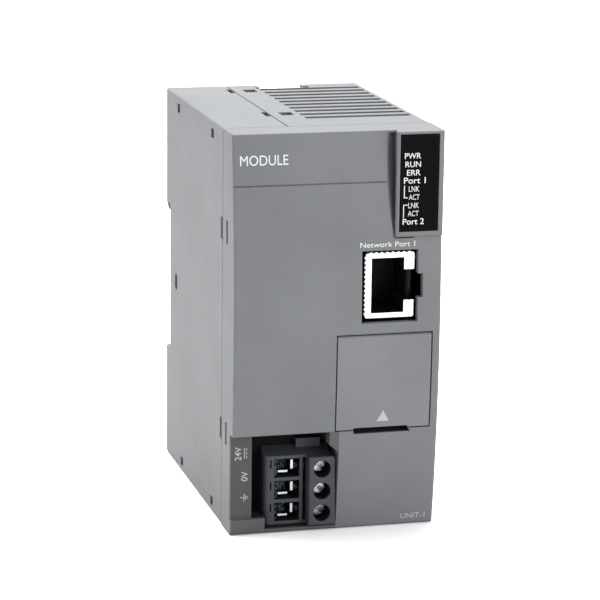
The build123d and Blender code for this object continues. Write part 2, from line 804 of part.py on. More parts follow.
nose_left = plug_left + nose_inset_left
nose_right = plug_right - nose_inset
nose_bottom = plug_bottom + nose_inset_z
nose_top = plug_top - nose_inset_z
plug_rear_y = edge_y + plug_rear
nose_rear_y = plug_rear_y + nose_length
header_front_y = seam_y + 0.2
header_rear_y = header_front_y + header_depth
shroud_back_y = nose_rear_y + move_gap + 0.3
pin_side = 1.0

with BuildPart() as terminal_header:
    block(
        (nose_left - move_gap - header_wall, header_front_y, nose_bottom - move_gap - header_wall),
        (power_board_x - 0.05, header_rear_y, nose_top + move_gap + header_wall),
    )
    block(
        (nose_left - move_gap, header_front_y - 1, nose_bottom - move_gap),
        (nose_right + move_gap, shroud_back_y, nose_top + move_gap),
        mode=Mode.SUBTRACT,
    )
    for z in pole_heights:
        with Locations((contact_x, header_rear_y, z)):
            Box(pin_side + 2 * 0.05, 8, pin_side + 2 * 0.05, mode=Mode.SUBTRACT)
write_piece(terminal_header, "terminal_header")

with BuildPart() as header_pins:
    for z in pole_heights:
        half = pin_side / 2
        low = (contact_x - half, edge_y + 10.5, z - half)
        block(low, (contact_x + half, pin_row_y + half, z + half))
        block((contact_x - half, pin_row_y - half, z - half),
              (power_board_x + board_thickness + 0.9, pin_row_y + half, z + half))
write_piece(header_pins, "header_pins")


# ---------------------------------------------------------------------------------------------
# Terminal plug, its contacts, screws and wire clamps
# ---------------------------------------------------------------------------------------------

screw_face_y = edge_y + plug_front
wire_face_y = edge_y + wire_face
screw_block_left = plug_right - screw_block_width
chamber_left = plug_left + chamber_inset
chamber_right = chamber_left + chamber_width
chamber_half = pole_pitch / 2 - 0.39
chamber_rear_y = edge_y + 6.1
spring_half = 1.0
socket_half = 1.3
clamp_rest_x = chamber_right - 2.0
clamp_sheet = 0.6
push_half = 0.8
clamp_drop = 0.4
push_y = edge_y + 4.2

with BuildPart() as terminal_plug_body:
    with BuildSketch(Plane.YZ.offset(plug_left)):
        with BuildLine():
            Polyline(
                (screw_face_y, plug_bottom),
                (plug_rear_y, plug_bottom),
                (plug_rear_y, plug_top + deck_rise),
                (wire_face_y, plug_top),
                (screw_face_y, plug_top),
                close=True,
            )
        make_face()
    extrude(amount=plug_width)
    right_edges = terminal_plug_body.edges().group_by(Axis.X)[-1].sort_by(Axis.Z)
    fillet(right_edges[-2:], deck_edge_round)
    # The face with the wire entries lies behind the screw face, and a groove parts the two.
    block((plug_left - 1, screw_face_y - 1, plug_bottom - 1),
          (screw_block_left, wire_face_y, plug_top + 1), mode=Mode.SUBTRACT)
    wire_side = terminal_plug_body.faces().filter_by(Axis.Y).sort_by(Axis.Y)[1]
    fillet(wire_side.edges().sort_by(Axis.X)[0], wire_edge_round)
    fillet(terminal_plug_body.faces().filter_by(Axis.Y).sort_by(Axis.Y)[0].edges(), 0.4)
    block((screw_block_left - plug_groove, screw_face_y - 1, plug_bottom + 0.6),
          (screw_block_left, wire_face_y + plug_groove_depth, plug_top - 0.6), mode=Mode.SUBTRACT)
    block((nose_left, plug_rear_y - 1, nose_bottom), (nose_right, nose_rear_y, nose_top))
    # Grip on the top deck.
    block((plug_left + grip_inset, plug_rear_y - 0.2 - grip_depth, plug_top - 0.5),
          (plug_left + grip_inset + grip_width, plug_rear_y - 0.2, plug_top + grip_height))
    for z in pole_heights:
        block((chamber_left, wire_face_y - 1, z - chamber_half),
              (chamber_right, chamber_rear_y, z + chamber_half), mode=Mode.SUBTRACT)
        # Socket for the sprung contact, through the nose.
        block((contact_x - socket_half, chamber_rear_y - 1, z - socket_half),
              (contact_x + socket_half, nose_rear_y + 1, z + socket_half), mode=Mode.SUBTRACT)
        # Passage from the clamp to the screw.
        block((chamber_right - 1, push_y - push_half - move_gap, z - push_half - move_gap),
              (screw_x, push_y + push_half + move_gap, z + push_half + move_gap), mode=Mode.SUBTRACT)
        # Coding slot beside the entry.
        block((plug_left + 1.3, wire_face_y - 1, z + 0.1), (plug_left + 1.65, wire_face_y + 1, z + 2.0),
              mode=Mode.SUBTRACT)
        with Locations(Plane((screw_x, screw_face_y, z), x_dir=(1, 0, 0), z_dir=(0, -1, 0))):
            CounterBoreHole(
                screw_radius + pin_gap,
                screw_hole_radius,
                screw_head_y + screw_head_height - plug_front + 0.1,
                depth=screw_head_y + screw_length - plug_front + move_gap,
            )
write_piece(terminal_plug_body, "terminal_plug_body")

with BuildPart() as plug_contacts:
    bed_x = chamber_left + 0.15
    bed_half = chamber_half - 0.35
    bed_sheet = 0.5
    shelf_drop = 0.75
    shelf_width = 3.1
    for z in pole_heights:
        # Bed that the wire is pressed against, its shelf and its back.
        block((bed_x, edge_y + 2.4, z - bed_half), (bed_x + bed_sheet, chamber_rear_y - 0.1, z + bed_half))
        block((bed_x, edge_y + 3.0, z - shelf_drop - bed_sheet),
              (bed_x + shelf_width, chamber_rear_y - 0.1, z - shelf_drop))
        block((bed_x, chamber_rear_y - 0.7, z - 1.0), (contact_x + 1.0, chamber_rear_y - 0.1, z + 1.0))
        # Sprung box contact in the nose.
        block((contact_x - spring_half, chamber_rear_y - 0.3, z - spring_half),
              (contact_x + spring_half, nose_rear_y - 0.4, z + spring_half))
        block((contact_x - 0.65, edge_y + 9.0, z - 0.65), (contact_x + 0.65, nose_rear_y, z + 0.65),
              mode=Mode.SUBTRACT)
write_piece(plug_contacts, "plug_contacts")


def make_screw(pole, z):
    """Slotted clamp screw of one pole."""
    head_y = edge_y + screw_head_y
    with BuildPart() as screw:
        with BuildSketch(Plane((screw_x, head_y, z), x_dir=(1, 0, 0), z_dir=(0, 1, 0))):
            Circle(screw_head_radius)
        extrude(amount=screw_head_height)
        fillet(screw.edges().sort_by(Axis.Y)[0], 0.35)
        with BuildSketch(Plane((screw_x, head_y + screw_head_height, z), x_dir=(1, 0, 0), z_dir=(0, 1, 0))):
            Circle(screw_radius)
        extrude(amount=screw_length - screw_head_height)
        chamfer(screw.edges().sort_by(Axis.Y)[-1], 0.6)
        with Locations((screw_x, head_y, z)):
            Box(2 * screw_head_radius + 1, 1.8, 0.7, rotation=(0, 35, 0), mode=Mode.SUBTRACT)
    write_piece(screw, f"terminal_screw_{pole}")


def make_wire_clamp(pole, z):
    """Clamping plate of one pole, with the block that its screw wedges sideways."""
    with BuildPart() as plate:
        half = chamber_half - 0.45
        block((clamp_rest_x, edge_y + 2.6, z - clamp_drop),
              (clamp_rest_x + clamp_sheet, chamber_rear_y - 1.1, z + half))
        block((clamp_rest_x + 0.3, push_y - push_half, z - clamp_drop),
              (screw_x - screw_head_radius - move_gap, push_y + push_half - 0.2, z + push_half))
    write_piece(plate, f"wire_clamp_{pole}")


for index, pole_z in enumerate(pole_heights):
    make_screw(index + 1, pole_z)
    make_wire_clamp(index + 1, pole_z)


# ---------------------------------------------------------------------------------------------
# Rail clamp
# ---------------------------------------------------------------------------------------------

with BuildPart() as din_clamp:
    half = clamp_width / 2
    foot = 0.4
    block((clamp_center_x - half, slider_y, foot), (clamp_center_x + half, rear_y, recess_bottom))
    block((clamp_center_x - half, hook_y, recess_bottom - 1),
          (clamp_center_x + half, rear_y, recess_bottom + hook_overlap))
    lip_edge = din_clamp.edges().filter_by(Axis.X).group_by(Axis.Z)[-1].sort_by(Axis.Y)[-1]
    chamfer(lip_edge, 1.0)
    # Side flanges that run in the grooves.
    block((clamp_center_x - half - flange_reach + move_gap, slider_y - flange_thickness, clamp_travel + 1),
          (clamp_center_x + half + flange_reach - move_gap, slider_y, groove_top - 1))
    # Slot for a screwdriver at the foot, and a relief behind the spring tongue.
    with Locations((clamp_center_x, rear_y, foot + 3.2)):
        Box(6.0, 12, 1.6, mode=Mode.SUBTRACT)
    for side in (-1, 1):
        with Locations((clamp_center_x + side * 2.6, rear_y, 15.0)):
            Box(0.8, 20, 9.0, mode=Mode.SUBTRACT)
    with Locations((clamp_center_x, rear_y, 10.9)):
        Box(6.0, 20, 0.8, mode=Mode.SUBTRACT)
write_piece(din_clamp, "din_clamp")


# ---------------------------------------------------------------------------------------------
# Connector between the boards
# ---------------------------------------------------------------------------------------------

link_y = edge_y + board_rear - 9.0
link_z = board_edge + 17.8
link_pins = 10
link_pitch = 2.54
link_pin = 0.64
socket_height = 8.5
power_board_right = power_board_x + board_thickness
link_body_height = link_pins * link_pitch

with BuildPart() as board_link_header:
    block((power_board_right + 0.02, link_y - 2.5, link_z - link_body_height / 2),
          (power_board_right + 2.5, link_y + 2.5, link_z + link_body_height / 2))
    for row in (-0.5, 0.5):
        for n in range(link_pins):
            height = link_z + (n - (link_pins - 1) / 2) * link_pitch
            with Locations((power_board_right + 1, link_y + row * link_pitch, height)):
                Box(8, link_pin + 0.04, link_pin + 0.04, mode=Mode.SUBTRACT)
write_piece(board_link_header, "board_link_header")

with BuildPart() as board_link_pins:
    for row in (-0.5, 0.5):
        for n in range(link_pins):
            height = link_z + (n - (link_pins - 1) / 2) * link_pitch
            y = link_y + row * link_pitch
            half = link_pin / 2
            block((power_board_right + 0.02, y - half, height - half),
                  (main_board_x - socket_height + 5.0, y + half, height + half))
write_piece(board_link_pins, "board_link_pins")

with BuildPart() as board_link_socket:
    block((main_board_x - socket_height, link_y - 2.5, link_z - link_body_height / 2),
          (main_board_x - 0.02, link_y + 2.5, link_z + link_body_height / 2))
    for row in (-0.5, 0.5):
        for n in range(link_pins):
            height = link_z + (n - (link_pins - 1) / 2) * link_pitch
            with Locations((main_board_x - socket_height, link_y + row * link_pitch, height)):
                Box(11.0, link_pin + 0.2, link_pin + 0.2, mode=Mode.SUBTRACT)
write_piece(board_link_socket, "board_link_socket")


# ---------------------------------------------------------------------------------------------
# Parts on the boards
# ---------------------------------------------------------------------------------------------


def surface_parts(name, board_x, places, size, edge=0.2):
    """A group of like chips on a board's left face. Each place is y behind the front edges, z."""
    height, depth, tall = size
    with BuildPart() as chips:
        for y, z in places:
            block((board_x - height - 0.02, edge_y + y - depth / 2, z - tall / 2),
                  (board_x - 0.02, edge_y + y + depth / 2, z + tall / 2))
        tops = chips.faces().filter_by(Axis.X).group_by(Axis.X)[0]
        chamfer(tops.edges(), edge)
    write_piece(chips, name)


surface_parts("processor_chip", main_board_x, [(42.0, mid_z + 15.0)], (1.4, 14.0, 14.0))
network_places = [(33.0, mid_z + 1.5), (33.0, mid_z - 11.0)]
surface_parts("network_chips", main_board_x, network_places, (0.9, 7.0, 7.0))
memory_places = [(42.0, mid_z + 1.5), (52.0, mid_z + 1.5)]
surface_parts("memory_chips", main_board_x, memory_places, (1.1, 6.0, 8.0))
transformer_places = [(22.0, port_1_z), (22.0, port_2_z)]
surface_parts("port_transformers", main_board_x, transformer_places, (4.0, 9.0, 12.0), 0.4)
surface_parts("crystal", main_board_x, [(33.0, mid_z + 13.0)], (1.2, 3.2, 5.0))
transistor_places = [(18.0, mid_z - 11.0), (18.0, mid_z - 1.0)]
surface_parts("power_transistors", power_board_x, transistor_places, (2.3, 6.5, 6.5), 0.3)

transformer_y = edge_y + 44.0
transformer_z = mid_z + 3.0
transformer_middle_x = power_board_x - 7.75
core_leg_radius = 3.0
bobbin_radius = 6.5

with BuildPart() as transformer_core:
    # Two E halves: a frame with a round centre leg along the board's normal.
    block((power_board_x - 14.5, transformer_y - 9, transformer_z - 5),
          (power_board_x - 1.0, transformer_y + 9, transformer_z + 5))
    block((power_board_x - 12.0, transformer_y - 6.8, transformer_z - 6),
          (power_board_x - 3.5, transformer_y + 6.8, transformer_z + 6), mode=Mode.SUBTRACT)
    with Locations((transformer_middle_x, transformer_y, transformer_z)):
        Cylinder(core_leg_radius, 9.5, rotation=(0, 90, 0))
write_piece(transformer_core, "transformer_core")

with BuildPart() as transformer_bobbin:
    with Locations((transformer_middle_x, transformer_y, transformer_z)):
        Cylinder(bobbin_radius, 8.3, rotation=(0, 90, 0))
        Cylinder(core_leg_radius + fit_gap, 9, rotation=(0, 90, 0), mode=Mode.SUBTRACT)
write_piece(transformer_bobbin, "transformer_bobbin")

capacitors = [
    (28.0, mid_z + 21.0, 5.0, 16.0),
    (40.0, mid_z + 25.0, 5.0, 16.0),
    (board_rear - 9.0, mid_z + 25.0, 4.0, 11.5),
]                          # y behind the front edges, z, radius, length

with BuildPart() as bulk_capacitors:
    for y, z, radius, length in capacitors:
        top_x = power_board_x - 0.02 - length
        with BuildSketch(Plane.YZ.offset(top_x)):
            with Locations((edge_y + y, z)):
                Circle(radius)
        extrude(amount=length)
    tops = bulk_capacitors.edges().filter_by(GeomType.CIRCLE)
    fillet(tops, 0.5)
write_piece(bulk_capacitors, "bulk_capacitors")

with BuildPart() as power_inductor:
    block((power_board_x - 7.0, edge_y + 27.0, mid_z - 19.0),
          (power_board_x - 0.02, edge_y + 37.0, mid_z - 9.0))
    fillet(power_inductor.edges().filter_by(Axis.X), 2.0)
write_piece(power_inductor, "power_inductor")

with BuildPart() as input_fuse:
    block((power_board_x - 4.0, edge_y + 27.5, 12.0), (power_board_x - 0.02, edge_y + 36.0, 16.0))
    chamfer(input_fuse.faces().sort_by(Axis.X)[0].edges(), 0.4)
write_piece(input_fuse, "input_fuse")


# ---------------------------------------------------------------------------------------------
# Expansion connector and its cover
# ---------------------------------------------------------------------------------------------

main_board_right = main_board_x + board_thickness
socket_y = edge_y + expansion_y
cover_plate = 1.1

with BuildPart() as expansion_socket:
    block((main_board_right + 0.02, socket_y - 2.8, expansion_z - 15),
          (right_x - cover_plate - 0.5, socket_y + 2.8, expansion_z + 15))
    for row in (-0.5, 0.5):
        for n in range(expansion_pins):
            height = expansion_z + (n - (expansion_pins - 1) / 2) * expansion_pitch
            with Locations((right_x, socket_y + row * expansion_pitch, height)):
                Box(8.4, 0.9, 0.9, mode=Mode.SUBTRACT)
write_piece(expansion_socket, "expansion_socket")

with BuildPart() as expansion_contacts:
    for row in (-0.5, 0.5):
        for n in range(expansion_pins):
            height = expansion_z + (n - (expansion_pins - 1) / 2) * expansion_pitch
            y = socket_y + row * expansion_pitch
            block((main_board_right + 0.5, y - 0.3, height - 0.3), (right_x - 2.0, y + 0.3, height + 0.3))
write_piece(expansion_contacts, "expansion_contacts")

with BuildPart() as expansion_cover:
    half_y = (expansion_width + 3) / 2 - move_gap
    half_z = (expansion_height + 3) / 2 - move_gap
    block((right_x - cover_plate, socket_y - half_y, expansion_z - half_z),
          (right_x, socket_y + half_y, expansion_z + half_z))
    fillet(expansion_cover.edges().filter_by(Axis.X), 0.8)
    # Legs that clip beside the connector.
    leg_y = expansion_width / 2 - move_gap
    for side in (-1, 1):
        z_out = expansion_z + side * (expansion_height / 2 - move_gap)
        z_in = expansion_z + side * (expansion_height / 2 - move_gap - 1.0)
        block((right_x - wall - 0.4, socket_y - leg_y, min(z_in, z_out)),
              (right_x - cover_plate + 0.1, socket_y + leg_y, max(z_in, z_out)))
    # Nail slot for pulling it off.
    block((right_x - 0.5, socket_y - 2.5, expansion_z - half_z + 1.5), (right_x + 1, socket_y + 2.5,
          expansion_z - half_z + 2.7), mode=Mode.SUBTRACT)
write_piece(expansion_cover, "expansion_cover")
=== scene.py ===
"""Looks of a rail-mounted controller module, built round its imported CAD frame."""

from math import cos, radians, sin

import bpy
import numpy as np
from mathutils import Matrix, Vector


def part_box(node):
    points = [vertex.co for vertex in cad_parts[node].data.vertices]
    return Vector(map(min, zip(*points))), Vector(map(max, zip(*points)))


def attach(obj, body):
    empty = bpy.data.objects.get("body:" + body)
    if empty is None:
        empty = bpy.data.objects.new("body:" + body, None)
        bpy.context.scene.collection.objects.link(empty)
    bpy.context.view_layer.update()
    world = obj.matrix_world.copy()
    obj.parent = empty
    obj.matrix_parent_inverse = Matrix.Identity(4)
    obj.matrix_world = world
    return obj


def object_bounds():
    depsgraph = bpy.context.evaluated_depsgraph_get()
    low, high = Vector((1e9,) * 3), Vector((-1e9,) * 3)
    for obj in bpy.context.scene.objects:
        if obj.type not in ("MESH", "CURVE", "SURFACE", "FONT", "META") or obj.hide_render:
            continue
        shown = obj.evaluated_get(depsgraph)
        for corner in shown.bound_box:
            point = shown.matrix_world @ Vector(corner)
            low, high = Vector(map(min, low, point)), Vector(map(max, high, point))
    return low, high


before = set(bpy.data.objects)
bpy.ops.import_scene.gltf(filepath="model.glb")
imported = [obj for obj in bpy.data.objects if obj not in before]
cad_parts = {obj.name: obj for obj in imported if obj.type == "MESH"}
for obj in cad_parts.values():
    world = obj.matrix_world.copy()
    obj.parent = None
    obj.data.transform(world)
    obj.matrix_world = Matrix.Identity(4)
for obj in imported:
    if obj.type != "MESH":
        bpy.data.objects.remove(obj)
cad_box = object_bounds()

# Studio: a white table under a bright room, a long soft box beside the module's left
# shoulder, one above its roof, and a weaker one in front that the metal picks up.
# The camera stands a little left of the front and looks slightly down.

scene = bpy.context.scene
scene.view_settings.view_transform = "Standard"


def link(tree, source, target):
    """Joins an output socket to an input socket."""
    tree.links.new(source, target)


def new_shader(name, **values):
    """A material and its Principled shader, with constants set on the shader's own sockets."""
    material = bpy.data.materials.new(name)
    material.use_nodes = True
    shader = material.node_tree.nodes["Principled BSDF"]
    for key, value in values.items():
        shader.inputs[key.replace("_", " ")].default_value = value
    return material, material.node_tree, shader


# The paper sends back less light than it shows, so the module's underside stays dark.
paper_in_bounces, paper_seen = (0.62, 0.62, 0.62, 1), (0.93, 0.93, 0.93, 1)
table_paper, tree, shader = new_shader("table_paper", Roughness=0.9)
seen = tree.nodes.new("ShaderNodeLightPath").outputs["Is Camera Ray"]
tone = tree.nodes.new("ShaderNodeMix")
tone.data_type = "RGBA"
tone.inputs[6].default_value = paper_in_bounces
tone.inputs[7].default_value = paper_seen
link(tree, seen, tone.inputs["Factor"])
link(tree, tone.outputs[2], shader.inputs["Base Color"])

# The table is a flat grid a fifth of a millimetre under the module, in metres.
half_table, table_cells, table_gap = 3.0, 8, 0.0002
row = table_cells + 1
grid = np.linspace(-half_table, half_table, row)
across, along = np.meshgrid(grid, grid)
corners = np.stack([across.ravel(), along.ravel(), np.full(across.size, -table_gap)], 1)
first = (np.arange(table_cells)[:, None] * row + np.arange(table_cells)).ravel()
cells = np.stack([first, first + 1, first + row + 1, first + row], 1)
table_mesh = bpy.data.meshes.new("table")
table_mesh.from_pydata(corners, [], cells.tolist())
table_mesh.materials.append(table_paper)
table = bpy.data.objects.new("table", table_mesh)
scene.collection.objects.link(table)

room = bpy.data.worlds.new("room")
room.use_nodes = True
room.node_tree.nodes["Background"].inputs["Color"].default_value = (0.97, 0.985, 1.0, 1)
room.node_tree.nodes["Background"].inputs["Strength"].default_value = 1.22
scene.world = room


def soft_box(name, place, aim, size, power):
    """A rectangular soft light at a place, turned to face a point."""
    lamp = bpy.data.lights.new(name, "AREA")
    lamp.shape = "RECTANGLE"
    lamp.size, lamp.size_y = size
    lamp.energy = power
    holder = bpy.data.objects.new(name, lamp)
    turn = (Vector(aim) - Vector(place)).to_track_quat("-Z", "Y").to_matrix().to_4x4()
    holder.matrix_world = Matrix.Translation(place) @ turn
    scene.collection.objects.link(holder)


soft_box("left_box", (-0.55, 0.25, 0.62), (0, 0, 0.045), (0.5, 0.7), 5.2)
soft_box("top_box", (0.0, 0.35, 0.8), (0, 0, 0.09), (0.6, 0.5), 15.0)
soft_box("front_box", (0.42, -0.66, 0.2), (0.01, 0, 0.02), (0.3, 0.4), 3.4)

azimuth, height_angle, tilt = radians(-14.785), radians(13.093), radians(0.715)
aim, distance = Vector((-0.008026, -0.03285, 0.052914)), 0.57938
level = cos(height_angle)
back = Vector((sin(azimuth) * level, -cos(azimuth) * level, sin(height_angle)))
side = (-back).cross(Vector((0, 0, 1))).normalized()
up = side.cross(-back)
side, up = side * cos(tilt) + up * sin(tilt), up * cos(tilt) - side * sin(tilt)
lens = bpy.data.cameras.new("camera")
lens.sensor_width = 36.0
lens.lens = 158.82
lens.clip_start = 0.01
camera = bpy.data.objects.new("camera", lens)
pose = Matrix((side, up, back)).transposed().to_4x4()
camera.matrix_world = Matrix.Translation(aim + back * distance) @ pose
scene.collection.objects.link(camera)
scene.camera = camera

# Case halves, front cover and port door: warm-grey ABS mouldings from textured tools.
# The halves hook together across the seam, and the cover snaps over their front lips.
# The grain is a fine spark-eroded matt, and the outside edges are a little lighter: part rubbing
# wear, part painted highlight.

MM = 0.001
left_x, right_x = cad_box[0][0] / MM, cad_box[1][0] / MM
case_top = cad_box[1][2] / MM
front_y = cad_box[0][1] / MM
front_bulge = 3.0
edge_y = front_y + front_bulge


def new_group(name, inputs, outputs):
    """A shader node group with named sockets, its input node and its output node."""
    group = bpy.data.node_groups.new(name, "ShaderNodeTree")
    for label, kind, value in inputs:
        socket_type = "NodeSocket" + kind
        socket = group.interface.new_socket(label, in_out="INPUT", socket_type=socket_type)
        if value is not None:
            socket.default_value = value
    for label, kind in outputs:
        group.interface.new_socket(label, in_out="OUTPUT", socket_type="NodeSocket" + kind)
    return group, group.nodes.new("NodeGroupInput"), group.nodes.new("NodeGroupOutput")


def noise(tree, vector, scale, detail=3.0, roughness=0.5):
    """A noise over a vector. Its scale is a number or a socket."""
    node = tree.nodes.new("ShaderNodeTexNoise")
    node.inputs["Detail"].default_value = detail
    node.inputs["Roughness"].default_value = roughness
    if hasattr(scale, "links"):
        link(tree, scale, node.inputs["Scale"])
    else:
        node.inputs["Scale"].default_value = scale
    link(tree, vector, node.inputs["Vector"])
    return node.outputs["Fac"]


def arithmetic(tree, operation, first, second, clamp=False):
    """One maths node. Each term is a number or a socket."""
    node = tree.nodes.new("ShaderNodeMath")
    node.operation = operation
    node.use_clamp = clamp
    for socket, value in zip(node.inputs, (first, second)):
        if hasattr(value, "links"):
            link(tree, value, socket)
        else:
            socket.default_value = value
    return node.outputs[0]


def spread(tree, value, low, high, to_low, to_high):
    """A value mapped from one range to another, held at the ends."""
    node = tree.nodes.new("ShaderNodeMapRange")
    ends = {"From Min": low, "From Max": high, "To Min": to_low, "To Max": to_high}
    for key, number in ends.items():
        node.inputs[key].default_value = number
    link(tree, value, node.inputs["Value"])
    return node.outputs["Result"]


def between(tree, factor, first, second):
    """Colour mixed from one colour to another. Each is a colour or a socket."""
    node = tree.nodes.new("ShaderNodeMix")
    node.data_type = "RGBA"
    link(tree, factor, node.inputs["Factor"])
    for key, value in ((6, first), (7, second)):
        if hasattr(value, "links"):
            link(tree, value, node.inputs[key])
        else:
            node.inputs[key].default_value = value
    return node.outputs[2]


def in_place(tree):
    """Object coordinates, in metres in the module's own frame."""
    return tree.nodes.new("ShaderNodeTexCoord").outputs["Object"]


def call(tree, group, **values):
    """A group placed in a material with its own values. Each is a number or a socket."""
    node = tree.nodes.new("ShaderNodeGroup")
    node.node_tree = group
    for key, value in values.items():
        if hasattr(value, "links"):
            link(tree, value, node.inputs[key])
        else:
            node.inputs[key].default_value = value
    return node


# Grain of a moulding: fine bumps, and slow drifts of shade over the whole piece.
grain, start, end = new_group(
    "moulded_grain",
    [("Vector", "Vector", None), ("Scale", "Float", 3000.0), ("Drift", "Float", 40.0)],
    [("Height", "Float"), ("Shade", "Float")],
)
spot = start.outputs["Vector"]
link(grain, noise(grain, spot, start.outputs["Scale"], 2.0), end.inputs["Height"])
link(grain, noise(grain, spot, start.outputs["Drift"], 4.0, 0.6), end.inputs["Shade"])

# Edge: the angle between the rounded and the true normal, broken up by a noise. Where it lightens a
# colour, it stands for rubbing wear and a painted highlight.
edges, start, end = new_group(
    "rubbed_edge_highlight",
    [("Vector", "Vector", None), ("Patches", "Float", 600.0)],
    [("Mask", "Float"), ("Normal", "Vector")],
)
rounded = edges.nodes.new("ShaderNodeBevel")
rounded.samples = 6
rounded.inputs["Radius"].default_value = 0.22 * MM
true_normal = edges.nodes.new("ShaderNodeNewGeometry").outputs["True Normal"]
angle = edges.nodes.new("ShaderNodeVectorMath")
angle.operation = "DOT_PRODUCT"
link(edges, rounded.outputs["Normal"], angle.inputs[0])
link(edges, true_normal, angle.inputs[1])
turned = spread(edges, angle.outputs["Value"], 0.98, 0.75, 0.0, 1.0)
patches = noise(edges, start.outputs["Vector"], start.outputs["Patches"])
patches = spread(edges, patches, 0.3, 0.65, 0.25, 1.0)
link(edges, arithmetic(edges, "MULTIPLY", turned, patches, True), end.inputs["Mask"])
link(edges, rounded.outputs["Normal"], end.inputs["Normal"])


def inside(tree, place, low, high, soft=0.2):
    """Mask of a box between two corners in millimetres, with soft sides.

    None in a corner leaves that side open.
    """
    split = tree.nodes.new("ShaderNodeSeparateXYZ")
    link(tree, place, split.inputs[0])
    mask = None
    for axis, bottom, top in zip("XYZ", low, high):
        for bound, sign in ((bottom, 1), (top, -1)):
            if bound is None:
                continue
            start, full = (bound - sign * soft) * MM, (bound + sign * soft) * MM
            if sign > 0:
                part = spread(tree, split.outputs[axis], start, full, 0, 1)
            else:
                part = spread(tree, split.outputs[axis], full, start, 1, 0)
            mask = part if mask is None else arithmetic(tree, "MULTIPLY", mask, part)
    return mask


# Painted shade on the case: its hollow is painted nearly black, so that windows and seams read
# black.
# The terminal pocket and the slit under the door are painted nearly black as shade, and the label
# strip and the bar under the plug are painted a darker grey as shade. Each zone is a box between
# two corners in millimetres.
shades, start, end = new_group(
    "case_painted_shade",
    [("Vector", "Vector", None)],
    [("Hollow", "Float"), ("Strip", "Float")],
)
spot = start.outputs["Vector"]
skin_depth = 0.9
hollow_low = (left_x + skin_depth, edge_y + 3.4, skin_depth)
hollow_high = (right_x - skin_depth, edge_y + 63.5, case_top - skin_depth)
pocket_low, pocket_high = (-18.6, edge_y + 0.75, 0.7), (0.8, edge_y + 8.4, 23.2)
slit_low, slit_high = (3.9, None, 22.2), (17.2, edge_y + 0.8, 23.3)
slit_start = (None, edge_y - 1.6, None)
strip_low, strip_high = (left_x + 0.15, edge_y - 2.8, None), (0.75, edge_y + 1.6, 23.15)
open_side = (None, None, None)

hollow = inside(shades, spot, hollow_low, hollow_high)
pocket = inside(shades, spot, pocket_low, pocket_high, 0.12)
slit = inside(shades, spot, slit_low, slit_high, 0.1)
slit = arithmetic(shades, "MULTIPLY", slit, inside(shades, spot, slit_start, open_side, 0.3))
dark = arithmetic(shades, "MAXIMUM", hollow, pocket)
dark = arithmetic(shades, "MAXIMUM", dark, slit)
link(shades, dark, end.inputs["Hollow"])
strip = inside(shades, spot, strip_low, strip_high, 0.15)
link(shades, strip, end.inputs["Strip"])
# Painted shade colours: the share of the case colour left on the strip and bar, and the near black
# of the hollow.
strip_shade_share, painted_hollow_shade = 0.55, (0.004, 0.004, 0.0045, 1)


def moulded_plastic(name, colour, rubbed_highlight, rough=(0.46, 0.58), scale=2600.0, depth=0.000018,
                    shade=0.09, gleam=0.2, shaded=False):
    """Textured moulding: base colour drifting by a share, lighter edges as rubbing wear and painted
    highlight, fine bumps.

    depth is the bumps' height in metres. A shaded one also takes the case's painted shade in its
    dark zones.
    """
    material, tree, shader = new_shader(name, Specular_IOR_Level=gleam)
    place = in_place(tree)
    skin = call(tree, grain, Vector=place, Scale=scale)
    edge_wear_highlight = call(tree, edges, Vector=place)
    low = tuple(c * (1 - shade) for c in colour[:3]) + (1,)
    high = tuple(min(1, c * (1 + shade)) for c in colour[:3]) + (1,)
    body = between(tree, spread(tree, skin.outputs["Shade"], 0.3, 0.7, 0, 1), low, high)
    body = between(tree, edge_wear_highlight.outputs["Mask"], body, rubbed_highlight)
    if shaded:
        # Painted shade: the strip and bar darker, and the hollow, pocket and slit nearly black.
        zones = call(tree, shades, Vector=place)
        strip = tuple(c * strip_shade_share for c in colour[:3]) + (1,)
        body = between(tree, zones.outputs["Strip"], body, strip)
        body = between(tree, zones.outputs["Hollow"], body, painted_hollow_shade)
    link(tree, body, shader.inputs["Base Color"])
    texture = spread(tree, skin.outputs["Height"], 0.3, 0.7, *rough)
    if shaded:
        texture = arithmetic(tree, "MAXIMUM", texture, zones.outputs["Hollow"])
    link(tree, texture, shader.inputs["Roughness"])
    bump = tree.nodes.new("ShaderNodeBump")
    bump.inputs["Strength"].default_value = 0.6
    bump.inputs["Distance"].default_value = depth
    link(tree, skin.outputs["Height"], bump.inputs["Height"])
    link(tree, edge_wear_highlight.outputs["Normal"], bump.inputs["Normal"])
    link(tree, bump.outputs["Normal"], shader.inputs["Normal"])
    return material


def dress(material, *nodes):
    """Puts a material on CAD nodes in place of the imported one."""
    for node in nodes:
        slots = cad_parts[node].data.materials
        slots.clear()
        slots.append(material)


case_grey = moulded_plastic(
    "case_grey", (0.118, 0.1215, 0.126, 1), (0.17, 0.174, 0.178, 1), shaded=True
)
dress(case_grey, "left_housing", "right_housing", "front_cover")
door_grey = moulded_plastic("door_grey", (0.133, 0.136, 0.143, 1), (0.185, 0.188, 0.193, 1))
dress(door_grey, "port_door")
cover_grey = moulded_plastic(
    "bus_cover_grey", (0.11, 0.113, 0.118, 1), (0.16, 0.163, 0.167, 1)
)
dress(cover_grey, "expansion_cover")
clamp_grey = moulded_plastic(
    "rail_clamp_grey", (0.05, 0.051, 0.053, 1), (0.09, 0.09, 0.093, 1)
)
dress(clamp_grey, "din_clamp")

# Status window: a smoked acrylic lens, bevelled round its edge and polished.
# Behind it are clear light pipes, and a resin LED under each at the board's edge.

